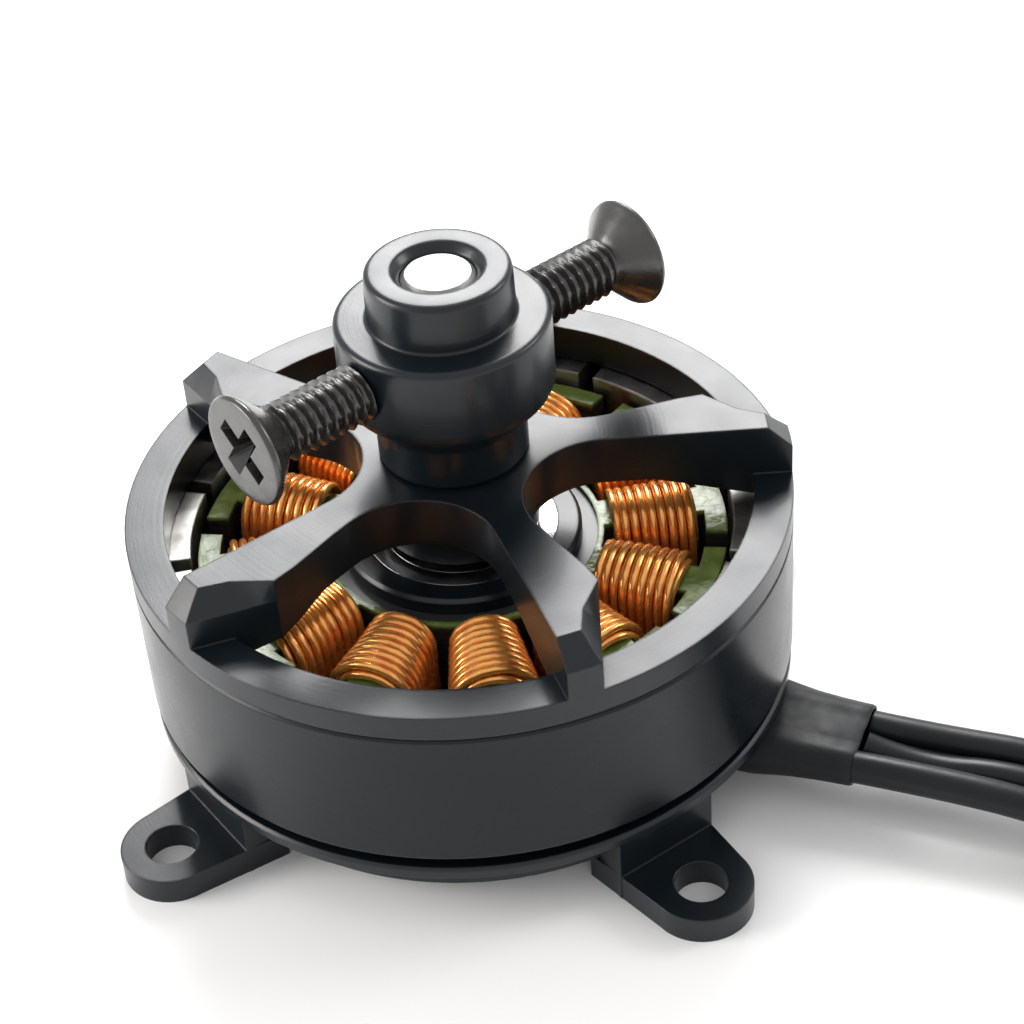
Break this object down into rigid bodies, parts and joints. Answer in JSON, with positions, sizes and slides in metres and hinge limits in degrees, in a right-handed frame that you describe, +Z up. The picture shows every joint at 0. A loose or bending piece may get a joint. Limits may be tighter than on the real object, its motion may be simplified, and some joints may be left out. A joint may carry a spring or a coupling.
{
  "type": "brushless outrunner motor",
  "caption": "Small brushless outrunner motor with a spoked rotating bell, clamp-on prop saver, lugged base and three leads ending in bullet connectors.",
  "frame": {"origin": "on the motor's axis, level with the lower faces of the four base lugs", "axes": "+Z up the shaft towards the propeller, lugs at 45 degrees to X and Y, leads leaving towards +X and a little towards -Y"},
  "size_m": [0.0584, 0.0526, 0.0231],
  "materials": {
    "anodised_black": "black anodised aluminium, satin with a soft sheen on turned faces",
    "coated_steel_black": "black coated steel, semi-gloss",
    "ground_steel": "ground steel",
    "spring_steel": "dark spring steel",
    "magnet_nickel": "nickel-plated magnet",
    "lamination": "stacked silicon-steel laminations",
    "epoxy_green": "glossy green epoxy powder coat",
    "copper_wire": "enamelled copper magnet wire",
    "bearing_steel": "polished bearing steel",
    "cage_brass": "pressed brass cage",
    "screw_black": "black oxide steel screw",
    "heat_shrink": "black heat-shrink tubing",
    "tie_nylon": "black nylon tie",
    "lead_silicone": "black silicone-insulated lead",
    "bullet_gold": "gold-plated bullet connector"
  },
  "bodies": {
    "base": {"mount_base": "anodised_black", "stator_core": "lamination", "stator_coat_lower": "epoxy_green", "stator_coat_upper": "epoxy_green", "coil_01": "copper_wire", "coil_02": "copper_wire", "coil_03": "copper_wire", "coil_04": "copper_wire", "coil_05": "copper_wire", "coil_06": "copper_wire", "coil_07": "copper_wire", "coil_08": "copper_wire", "coil_09": "copper_wire", "coil_10": "copper_wire", "coil_11": "copper_wire", "coil_12": "copper_wire", "lower_bearing_outer_race": "bearing_steel", "upper_bearing_outer_race": "bearing_steel", "lower_bearing_shields": "bearing_steel", "upper_bearing_shields": "bearing_steel", "lead_a": "lead_silicone", "lead_a_tail": "lead_silicone", "bullet_a": "bullet_gold", "bullet_a_shrink": "heat_shrink", "lead_b": "lead_silicone", "lead_b_tail": "lead_silicone", "bullet_b": "bullet_gold", "bullet_b_shrink": "heat_shrink", "lead_c": "lead_silicone", "lead_c_tail": "lead_silicone", "bullet_c": "bullet_gold", "bullet_c_shrink": "heat_shrink", "lead_coil": "lead_silicone", "coil_tie": "tie_nylon", "lead_sleeve": "heat_shrink"},
    "rotor": {"bell_cap": "anodised_black", "flux_ring": "coated_steel_black", "magnets_north": "magnet_nickel", "magnets_south": "magnet_nickel", "prop_saver": "anodised_black", "prop_screws": "screw_black", "shaft": "ground_steel", "shim_washer": "ground_steel", "thrust_washer": "ground_steel", "shaft_clip": "spring_steel", "lower_bearing_inner_race": "bearing_steel", "upper_bearing_inner_race": "bearing_steel"},
    "lower_ball_set": {"lower_bearing_balls": "bearing_steel", "lower_bearing_cage": "cage_brass"},
    "upper_ball_set": {"upper_bearing_balls": "bearing_steel", "upper_bearing_cage": "cage_brass"}
  },
  "joints": [
    {"name": "rotor_spin", "type": "hinge", "parent": "base", "child": "rotor", "pos_m": [0, 0, 0], "axis": [0, 0, 1], "continuous": true},
    {"name": "lower_cage_spin", "type": "hinge", "parent": "base", "child": "lower_ball_set", "pos_m": [0, 0, 0.00305], "axis": [0, 0, 1], "continuous": true},
    {"name": "upper_cage_spin", "type": "hinge", "parent": "base", "child": "upper_ball_set", "pos_m": [0, 0, 0.00855], "axis": [0, 0, 1], "continuous": true}
  ],
  "couplings": [
    {"joint": "lower_cage_spin", "follows": "rotor_spin", "ratio": 0.37273},
    {"joint": "upper_cage_spin", "follows": "rotor_spin", "ratio": 0.37273}
  ]
}
